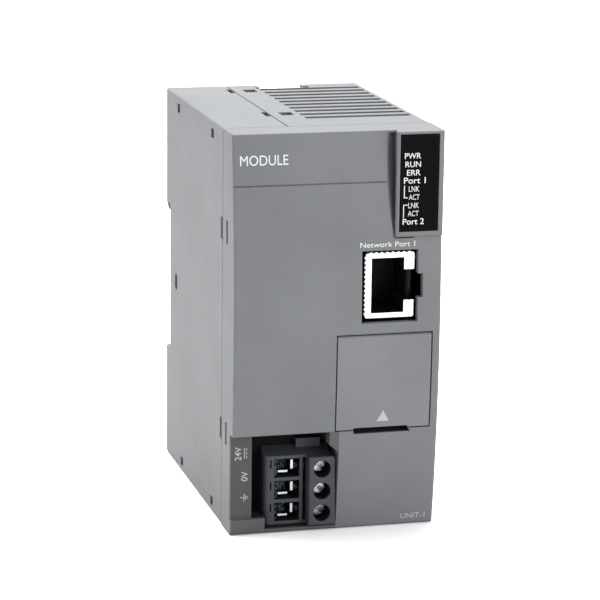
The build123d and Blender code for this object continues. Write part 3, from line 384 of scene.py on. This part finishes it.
smoke, smoke_edge_highlight = (0.002, 0.002, 0.0023, 1), (0.05, 0.052, 0.055, 1)
smoked, tree, shader = new_shader("smoked_acrylic", Base_Color=smoke, Specular_IOR_Level=0.035)
place = in_place(tree)
smears = spread(tree, noise(tree, place, 350.0, 5.0, 0.65), 0.35, 0.7, 0.12, 0.24)
link(tree, smears, shader.inputs["Roughness"])
# Painted highlight: the lens's bevelled edges are painted lighter than its face, in patches.
edge_wear_highlight = call(tree, edges, Vector=place)
body = between(tree, edge_wear_highlight.outputs["Mask"], smoke, smoke_edge_highlight)
link(tree, body, shader.inputs["Base Color"])
dress(smoked, "status_lens")


def mottled(tree, shader, field, first, second, rough):
    """Base colour mixed by a field, and roughness following the field's middle range."""
    link(tree, between(tree, field, first, second), shader.inputs["Base Color"])
    link(tree, spread(tree, field, 0.3, 0.7, *rough), shader.inputs["Roughness"])


clear, tree, shader = new_shader("clear_acrylic", IOR=1.49, Transmission_Weight=1.0)
place = in_place(tree)
body = between(tree, noise(tree, place, 300.0), (0.9, 0.93, 0.93, 1), (0.97, 0.98, 0.98, 1))
link(tree, body, shader.inputs["Base Color"])
haze = spread(tree, noise(tree, place, 900.0), 0.3, 0.7, 0.08, 0.2)
link(tree, haze, shader.inputs["Roughness"])
dress(clear, "light_guide")

resin, tree, shader = new_shader("led_resin", Subsurface_Weight=0.2, IOR=1.5)
place = in_place(tree)
body = between(tree, noise(tree, place, 1800.0), (0.62, 0.68, 0.50, 1), (0.78, 0.82, 0.66, 1))
link(tree, body, shader.inputs["Base Color"])
haze = spread(tree, noise(tree, place, 2500.0), 0.3, 0.7, 0.25, 0.4)
link(tree, haze, shader.inputs["Roughness"])
dress(resin, "status_leds")

# Prints: white and grey pad-printing ink on the lens, the cover and the door, a few
# hundredths of a millimetre thick. The lettering is generic: functions, port numbers and
# plain names.


def print_ink(name, thin, full):
    """Printing ink, between a thin and a full deposit in fine dabs."""
    material, tree, shader = new_shader(name, Specular_IOR_Level=0.3)
    dabs = noise(tree, in_place(tree), 5200.0, 3.0, 0.7)
    body = between(tree, spread(tree, dabs, 0.3, 0.62, 0, 1), thin, full)
    link(tree, body, shader.inputs["Base Color"])
    link(tree, spread(tree, dabs, 0.3, 0.7, 0.4, 0.6), shader.inputs["Roughness"])
    return material


ink = print_ink("white_ink", (0.42, 0.43, 0.44, 1), (0.56, 0.57, 0.58, 1))
soft_ink = print_ink("grey_ink", (0.24, 0.245, 0.25, 1), (0.34, 0.345, 0.35, 1))

middle_z = case_top / 2
arc_radius = (middle_z**2 + front_bulge**2) / (2 * front_bulge)


def panel_y(z):
    """Depth of the arched front at a height: a circle through the top, middle and bottom."""
    return front_y + arc_radius - np.sqrt(arc_radius**2 - (z - middle_z) ** 2)


def add_piece(name, points, faces, material, body, smooth=False):
    """A mesh piece from an array of points in millimetres, riding on a CAD body."""
    mesh = bpy.data.meshes.new(name)
    loops = faces if isinstance(faces, list) else faces.tolist()
    mesh.from_pydata(np.asarray(points) * MM, [], loops)
    mesh.materials.append(material)
    mesh.polygons.foreach_set("use_smooth", np.full(len(mesh.polygons), smooth))
    mesh.validate()
    mesh.update()
    piece = bpy.data.objects.new(name, mesh)
    scene.collection.objects.link(piece)
    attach(piece, body)
    return piece


def letter_shape(text, width, height, weight=0.0):
    """One line of lettering as arrays of points and faces, fitted to a box from the origin.

    The outline is filled and extruded both ways, then x and y are stretched to the box and
    the depth runs from -1 to 1.
    """
    curve = bpy.data.curves.new("letters", "FONT")
    curve.body = text
    curve.extrude = 0.01
    curve.offset = weight
    curve.resolution_u = 4
    holder = bpy.data.objects.new("letters", curve)
    scene.collection.objects.link(holder)
    bpy.context.view_layer.update()
    filled = holder.evaluated_get(bpy.context.evaluated_depsgraph_get())
    mesh = bpy.data.meshes.new_from_object(filled)
    points = np.zeros(len(mesh.vertices) * 3, np.float32)
    mesh.vertices.foreach_get("co", points)
    points = points.reshape(-1, 3).astype(float)
    faces = [list(polygon.vertices) for polygon in mesh.polygons]
    bpy.data.objects.remove(holder)
    bpy.data.curves.remove(curve)
    bpy.data.meshes.remove(mesh)
    low, high = points.min(0), points.max(0)
    points = (points - low) / (high - low) * (width, height, 2.0) - (0, 0, 1.0)
    return points, faces


BOX_FACES = [[3, 2, 1, 0], [4, 5, 6, 7], [0, 1, 5, 4], [1, 2, 6, 5], [2, 3, 7, 6], [3, 0, 4, 7]]


def bar_shape(x0, x1, z0, z1):
    """A closed flat bar as eight corners, depth from -1 to 1, in the lettering's layout."""
    outline = ((x0, z0), (x1, z0), (x1, z1), (x0, z1))
    return np.array([(x, z, depth) for depth in (-1, 1) for x, z in outline]), BOX_FACES


def print_on(name, shapes, surface, material, body, thick=0.03):
    """Flat shapes set on a surface: x stays, y becomes height, and depth stands out of it.

    surface gives the y of the face at each height. The shape's back lies on it, and its front
    stands out by the thickness.
    """
    points, faces, count = [], [], 0
    for shape, loops in shapes:
        points.append(shape)
        faces += [[index + count for index in loop] for loop in loops]
        count += len(shape)
    flat = np.concatenate(points)
    face_y = surface(flat[:, 1]) - thick * (flat[:, 2] + 1) / 2
    placed = np.stack([flat[:, 0], face_y, flat[:, 1]], 1)
    piece = add_piece(name, placed, faces, material, body)
    return piece


def line_of(text, x0, x1, z0, z1, weight=0.008):
    """A line of lettering between two sides and two heights."""
    points, faces = letter_shape(text, x1 - x0, z1 - z0, weight)
    return points + (x0, z0, 0), faces


lens_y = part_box("status_lens")[0].y / MM

# Each line of the legend: its words, left and right ends, foot and head, and letter weight.
legend = [
    line_of("PWR", 14.35, 18.05, 84.0, 85.25),
    line_of("RUN", 14.5, 18.05, 82.15, 83.4),
    line_of("ERR", 14.9, 18.0, 80.3, 81.55),
    line_of("Port 1", 14.25, 19.2, 78.5, 79.85),
    line_of("LNK", 15.4, 17.8, 76.7, 77.9, 0.0),
    line_of("ACT", 15.45, 17.9, 74.9, 76.1, 0.0),
    line_of("LNK", 15.35, 17.8, 73.05, 74.25, 0.0),
    line_of("ACT", 15.3, 17.75, 71.25, 72.45, 0.0),
    line_of("Port 2", 14.15, 19.0, 69.4, 70.75),
    bar_shape(14.3, 14.5, 75.3, 78.1),
    bar_shape(14.5, 15.2, 75.3, 75.5),
    bar_shape(14.2, 14.4, 71.0, 73.85),
    bar_shape(14.4, 15.2, 73.65, 73.85),
]
print_on("lens_legend", legend, lambda z: np.full_like(z, lens_y), ink, "module")
port_label = [line_of("Network Port 1", 4.8, 17.3, 64.5, 65.65, 0.0)]
print_on("port_label", port_label, panel_y, ink, "module")
type_label = [line_of("MODULE", -21.9, -11.2, 83.2, 85.4, 0.0)]
print_on("type_label", type_label, panel_y, ink, "module")
unit_label = [line_of("UNIT-1", 15.9, 21.6, 1.25, 2.5, 0.004)]
print_on("unit_label", unit_label, panel_y, soft_ink, "module")

triangle = np.array([(9.2, 25.0), (12.1, 25.0), (10.7, 27.5)])
prism = np.concatenate([np.c_[triangle, np.full(3, -1.0)], np.c_[triangle, np.full(3, 1.0)]])
prism_faces = [[2, 1, 0], [3, 4, 5], [0, 1, 4, 3], [1, 2, 5, 4], [2, 0, 3, 5]]
print_on("door_mark", [(prism, prism_faces)], panel_y, soft_ink, "door")

# Pole label: a dark polyester film in the recess beside the plug, with the voltage of each
# pole printed along it, reading upwards, and the earth sign.

film = moulded_plastic(
    "label_film", (0.05, 0.0505, 0.0515, 1), (0.08, 0.08, 0.082, 1), (0.4, 0.5), 4000.0, 0.000006,
    0.05,
)
strip_y = edge_y + 0.5
film_thick, film_sunk = 0.06, 0.01
film_low = np.array([-23.0, strip_y - film_thick, 3.75])
film_high = np.array([-18.75, strip_y + film_sunk, 22.85])
corner_radius, corner_points = 0.4, 7

# The outline runs round four quarter circles, each turned a right angle from the last.
quarter = np.linspace(0, np.pi / 2, corner_points)
turns = np.concatenate([quarter + n * np.pi / 2 for n in range(4)])
corner_x = np.array([film_high[0], film_low[0], film_low[0], film_high[0]])
corner_z = np.array([film_high[2], film_high[2], film_low[2], film_low[2]])
centre_x = np.repeat(corner_x + corner_radius * np.array([-1, 1, 1, -1]), corner_points)
centre_z = np.repeat(corner_z + corner_radius * np.array([-1, -1, 1, 1]), corner_points)
rim_x = centre_x + corner_radius * np.cos(turns)
rim_z = centre_z + corner_radius * np.sin(turns)
count = len(rim_x)
rim = np.concatenate([
    np.stack([rim_x, np.full(count, film_low[1]), rim_z], 1),
    np.stack([rim_x, np.full(count, film_high[1]), rim_z], 1),
])
step = np.arange(count)
after = (step + 1) % count
film_faces = [step[::-1].tolist(), (step + count).tolist()]
film_faces += np.stack([step, after, after + count, step + count], 1).tolist()
pole_label = add_piece("pole_label", rim, film_faces, film, "module")


def upright(shape, x, z):
    """A shape turned a quarter so that it reads upwards: its x becomes height, its y goes left."""
    points, faces = shape
    return np.stack([x - points[:, 1], z + points[:, 0], points[:, 2]], 1), faces


# Voltage and direct-current sign of the first pole, zero volts, and the earth sign.
supply, zero, earth = (-19.5, 17.2), (-19.4, 12.2), (-19.4, 7.5)
poles = [
    upright(letter_shape("24V", 3.1, 1.45, 0.004), -20.9, 17.0),
    upright(bar_shape(0.2, 2.6, 0.6, 0.75), *supply),
    upright(bar_shape(0.2, 0.8, 0.1, 0.25), *supply),
    upright(bar_shape(1.1, 1.7, 0.1, 0.25), *supply),
    upright(bar_shape(2.0, 2.6, 0.1, 0.25), *supply),
    upright(letter_shape("0V", 2.2, 1.45, 0.004), *zero),
    upright(bar_shape(0.85, 1.0, 0.9, 1.7), *earth),
    upright(bar_shape(0.0, 1.85, 0.75, 0.9), *earth),
    upright(bar_shape(0.35, 1.5, 0.4, 0.55), *earth),
    upright(bar_shape(0.65, 1.2, 0.05, 0.2), *earth),
]
print_on("pole_print", poles, lambda z: np.full_like(z, film_low[1]), soft_ink, "module")

# Network jacks: a folded shield of bright tinned sheet round a black moulded insert, with
# eight gold-plated sprung wires in each.

tinned, tree, shader = new_shader("bright_tin", Metallic=1.0)
place = in_place(tree)
streaks = tree.nodes.new("ShaderNodeMapping")
streaks.inputs["Scale"].default_value = (1, 0.15, 1)
link(tree, place, streaks.inputs["Vector"])
rolled = noise(tree, streaks.outputs["Vector"], 2200.0, 4.0, 0.6)
sheet = between(tree, rolled, (0.74, 0.74, 0.73, 1), (0.93, 0.93, 0.92, 1))
# Painted shade: deeper than bright_depth behind the front, the shield's tin is painted nearly
# black.
bright_depth, inner_shade = 2.7, (0.02, 0.02, 0.02, 1)
behind = inside(tree, place, (None, front_y + bright_depth, None), open_side)
link(tree, between(tree, behind, sheet, inner_shade), shader.inputs["Base Color"])
link(tree, spread(tree, rolled, 0.3, 0.7, 0.16, 0.36), shader.inputs["Roughness"])
edge_wear_highlight = call(tree, edges, Vector=place)
link(tree, edge_wear_highlight.outputs["Normal"], shader.inputs["Normal"])
dress(tinned, "port_1_shield", "port_2_shield")

# Sprung fingers stand in a row along each shield's left side and another along its top.
# Each port: its number, the height of its middle, and how far its shield is set back.
half_shield = 14.65 / 2
left_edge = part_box("port_1_shield")[0].x / MM
left_out, top_out, finger_in = 0.22, 0.2, 0.1
left_half, top_half = 0.27, 0.3
finger_back, finger_thick = 0.3, 0.25
along_top = left_edge + np.linspace(1.2, 10.0, 8)
for port, height, setback in (("1", 55.65, 1.5), ("2", 34.1, 2.0)):
    along_left = height + np.linspace(-6.3, 6.3, 13)
    top_edge = height + half_shield
    fingers = [
        bar_shape(left_edge - left_out, left_edge + finger_in, z - left_half, z + left_half)
        for z in along_left
    ]
    fingers += [
        bar_shape(x - top_half, x + top_half, top_edge - finger_in, top_edge + top_out)
        for x in along_top
    ]
    root_y = front_y + setback + finger_back
    prongs = print_on(
        f"shield_fingers_{port}", fingers, lambda z, y=root_y: np.full_like(z, y), tinned,
        "module", finger_thick,
    )

jack_black = moulded_plastic(
    "jack_black", (0.004, 0.004, 0.0045, 1), (0.012, 0.012, 0.013, 1), (0.4, 0.55), gleam=0.1
)
dress(
    jack_black, "port_1_insert", "port_2_insert", "board_link_header", "board_link_socket",
    "expansion_socket",
)

gold, tree, shader = new_shader("gold_plate", Metallic=1.0)
flow = noise(tree, in_place(tree), 1500.0, 3.0, 0.6)
mottled(tree, shader, flow, (0.88, 0.60, 0.22, 1), (0.98, 0.76, 0.36, 1), (0.2, 0.34))
dress(gold, "port_1_contacts", "port_2_contacts", "board_link_pins", "expansion_contacts")

# Power plug: a charcoal three-pole screw plug in its fixed header. Zinc-plated slotted screws
# wedge plated clamp plates sideways on to the wires, and sprung tinned contacts in its nose
# meet the header's pins. Its wire entries and screw holes are painted nearly black as shade.

plug_grey = moulded_plastic(
    "plug_charcoal", (0.04, 0.042, 0.05, 1), (0.07, 0.073, 0.083, 1), (0.34, 0.5), 3400.0, 0.00001,
    gleam=0.2,
)
tree = plug_grey.node_tree
shader = tree.nodes["Principled BSDF"]
place = in_place(tree)
# Painted shade: the wire entries and screw holes are painted nearly black and fully rough.
entries_low, entries_high = (-14.6, edge_y + 2.3, 1.5), (-5.55, None, 16.65)
holes_low, holes_high = (-5.3, edge_y - 0.3, 1.5), (0.35, None, 16.6)
entries = inside(tree, place, entries_low, entries_high, 0.1)
screw_holes = inside(tree, place, holes_low, holes_high, 0.1)
recess_painted_shade = arithmetic(tree, "MAXIMUM", entries, screw_holes)
outside = shader.inputs["Base Color"].links[0].from_socket
body = between(tree, recess_painted_shade, outside, (0.003, 0.003, 0.0035, 1))
link(tree, body, shader.inputs["Base Color"])
texture = shader.inputs["Roughness"].links[0].from_socket
link(tree, arithmetic(tree, "MAXIMUM", texture, recess_painted_shade), shader.inputs["Roughness"])
dress(plug_grey, "terminal_plug_body", "terminal_header")

zinc, tree, shader = new_shader("zinc_plate", Metallic=1.0)
place = in_place(tree)
turned_marks = noise(tree, place, 2600.0, 5.0, 0.7)
clouds = spread(tree, noise(tree, place, 900.0, 3.0, 0.6), 0.4, 0.6, 0, 1)
body = between(tree, clouds, (0.35, 0.355, 0.365, 1), (0.93, 0.93, 0.93, 1))
link(tree, body, shader.inputs["Base Color"])
link(tree, spread(tree, turned_marks, 0.3, 0.7, 0.18, 0.42), shader.inputs["Roughness"])
dent = tree.nodes.new("ShaderNodeBump")
dent.inputs["Strength"].default_value = 0.5
dent.inputs["Distance"].default_value = 0.00003
link(tree, turned_marks, dent.inputs["Height"])
link(tree, call(tree, edges, Vector=place).outputs["Normal"], dent.inputs["Normal"])
link(tree, dent.outputs["Normal"], shader.inputs["Normal"])
dress(zinc, "terminal_screw_1", "terminal_screw_2", "terminal_screw_3", "crystal")

copper, tree, shader = new_shader("tinned_copper", Metallic=1.0)
flow = noise(tree, in_place(tree), 1700.0, 4.0, 0.6)
edge_wear_highlight = call(tree, edges, Vector=in_place(tree), Patches=900.0)
cloudy = spread(tree, flow, 0.45, 0.62, 0, 1)
# Painted shade: the metal is painted nearly black, as in the dark chamber, with a cloudy tone.
chamber_painted_shade = between(tree, cloudy, (0.004, 0.0045, 0.005, 1), (0.07, 0.085, 0.088, 1))

# Painted glints: the front faces of the wire beds and plates are painted bright where they face
# forwards and lie between the bed's left end and the plate, near the front.
facing = tree.nodes.new("ShaderNodeSeparateXYZ")
true_normal = tree.nodes.new("ShaderNodeNewGeometry").outputs["True Normal"]
link(tree, true_normal, facing.inputs[0])
forwards = arithmetic(tree, "LESS_THAN", facing.outputs["Y"], -0.8)
beds_low, beds_high = (-11.8, None, None), (-8.45, edge_y + 3.2, None)
beds = inside(tree, in_place(tree), beds_low, beds_high, 0.05)
front_painted_glint = arithmetic(tree, "MULTIPLY", forwards, beds)
body = between(tree, front_painted_glint, chamber_painted_shade, (0.6, 0.61, 0.61, 1))
link(tree, body, shader.inputs["Base Color"])
link(tree, spread(tree, flow, 0.3, 0.7, 0.25, 0.45), shader.inputs["Roughness"])
link(tree, edge_wear_highlight.outputs["Normal"], shader.inputs["Normal"])
dress(copper, "plug_contacts", "header_pins", "wire_clamp_1", "wire_clamp_2", "wire_clamp_3")

# Boards: glass-epoxy with green solder mask over copper tracks, standing in ribs.

board, tree, shader = new_shader("solder_mask", Coat_Weight=0.35, Coat_Roughness=0.12)
place = in_place(tree)
tracks = tree.nodes.new("ShaderNodeTexBrick")
tracks.offset = 0.37
tracks.inputs["Scale"].default_value = 420.0
tracks.inputs["Mortar Size"].default_value = 0.09
turn = tree.nodes.new("ShaderNodeMapping")
turn.inputs["Rotation"].default_value = (0, radians(90), 0)
link(tree, place, turn.inputs["Vector"])
link(tree, turn.outputs["Vector"], tracks.inputs["Vector"])
body = between(tree, tracks.outputs["Fac"], (0.008, 0.085, 0.03, 1), (0.014, 0.15, 0.055, 1))
link(tree, body, shader.inputs["Base Color"])
link(tree, spread(tree, noise(tree, place, 900.0), 0.3, 0.7, 0.3, 0.42), shader.inputs["Roughness"])
relief = tree.nodes.new("ShaderNodeBump")
relief.inputs["Distance"].default_value = 0.00003
link(tree, tracks.outputs["Fac"], relief.inputs["Height"])
link(tree, relief.outputs["Normal"], shader.inputs["Normal"])
dress(board, "main_board", "power_board")

# Parts on the boards: epoxy chips with soldered leads, a ferrite transformer with a taped
# winding, sleeved capacitors, a ferrite choke and a fuse.

epoxy = moulded_plastic(
    "chip_epoxy", (0.018, 0.018, 0.019, 1), (0.04, 0.04, 0.042, 1), (0.45, 0.62), 4200.0
)
dress(
    epoxy, "processor_chip", "network_chips", "memory_chips", "port_transformers",
    "power_transistors",
)


def box_row(name, middles, halves, material, body):
    """Many like boxes as one piece, from arrays of their middles and half sizes in millimetres."""
    base = ((-1, -1), (1, -1), (1, 1), (-1, 1))
    signs = np.array([(x, y, z) for z in (-1, 1) for x, y in base])
    points = np.asarray(middles)[:, None, :] + signs * np.asarray(halves)[:, None, :]
    points = points.reshape(-1, 3)
    box_starts = 8 * np.arange(len(points) // 8)
    faces = (np.array(BOX_FACES) + box_starts[:, None, None]).reshape(-1, 4)
    return add_piece(name, points, faces, material, body)


solder, tree, shader = new_shader("solder", Metallic=1.0)
flow = noise(tree, in_place(tree), 2400.0, 3.0, 0.6)
mottled(tree, shader, flow, (0.55, 0.56, 0.57, 1), (0.8, 0.8, 0.81, 1), (0.18, 0.35))
board_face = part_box("main_board")[0].x / MM

# Half sizes of a lead across the board, along its chip's side and out from the chip; the gap
# from the chip to the lead's middle; and how far the rows reach along each side.
lead_flat, lead_half_width, lead_half_reach = 0.09, 0.12, 0.45
lead_gap, row_share, lead_x = 0.35, 0.85, board_face - 0.1
middles, halves = [], []

# Each row: depth, height, half depth and half height of a chip, leads a side, and its sides.
for depth, height, half_y, half_z, leads, sides in (
    (42.0, 60.0, 7.0, 7.0, 16, "yz"),
    (33.0, 46.5, 3.5, 3.5, 8, "yz"),
    (33.0, 34.0, 3.5, 3.5, 8, "yz"),
    (42.0, 46.5, 3.0, 4.0, 8, "y"),
    (52.0, 46.5, 3.0, 4.0, 8, "y"),
):
    for sign in (-1, 1):
        for axis in sides:
            row = np.linspace(-row_share, row_share, leads) * (half_z if axis == "y" else half_y)
            if axis == "y":
                lead_y = np.full(leads, edge_y + depth + sign * (half_y + lead_gap))
                lead_z = height + row
                size = (lead_flat, lead_half_reach, lead_half_width)
            else:
                lead_y = edge_y + depth + row
                lead_z = np.full(leads, height + sign * (half_z + lead_gap))
                size = (lead_flat, lead_half_width, lead_half_reach)
            middles.append(np.stack([np.full(leads, lead_x), lead_y, lead_z], 1))
            halves.append(np.tile(size, (leads, 1)))
middles, halves = np.concatenate(middles), np.concatenate(halves)
leads_piece = box_row("chip_leads", middles, halves, solder, "module")

ferrite = moulded_plastic(
    "ferrite", (0.05, 0.05, 0.052, 1), (0.11, 0.11, 0.11, 1), (0.5, 0.75), 1500.0, 0.00005, 0.3
)
dress(ferrite, "transformer_core", "power_inductor")

tape, tree, shader = new_shader("winding_tape", Coat_Weight=0.3)
place = in_place(tree)
wraps = tree.nodes.new("ShaderNodeTexWave")
wraps.bands_direction = "X"
wraps.inputs["Scale"].default_value = 500.0
wraps.inputs["Distortion"].default_value = 1.2
link(tree, place, wraps.inputs["Vector"])
body = between(tree, wraps.outputs["Fac"], (0.42, 0.26, 0.03, 1), (0.66, 0.47, 0.07, 1))
link(tree, body, shader.inputs["Base Color"])
scuffs = spread(tree, noise(tree, place, 1300.0), 0.3, 0.7, 0.3, 0.5)
link(tree, scuffs, shader.inputs["Roughness"])
dress(tape, "transformer_bobbin", "input_fuse")

sleeve, tree, shader = new_shader("capacitor_can")
place = in_place(tree)
split = tree.nodes.new("ShaderNodeSeparateXYZ")
link(tree, place, split.inputs[0])
bare_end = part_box("bulk_capacitors")[0].x + 0.5 * MM
end_mask = arithmetic(tree, "LESS_THAN", split.outputs["X"], bare_end)
marks = noise(tree, place, 1500.0, 4.0)
body = between(tree, end_mask, (0.02, 0.022, 0.035, 1), (0.7, 0.7, 0.71, 1))
link(tree, body, shader.inputs["Base Color"])
link(tree, end_mask, shader.inputs["Metallic"])
link(tree, spread(tree, marks, 0.3, 0.7, 0.25, 0.42), shader.inputs["Roughness"])
dress(sleeve, "bulk_capacitors")
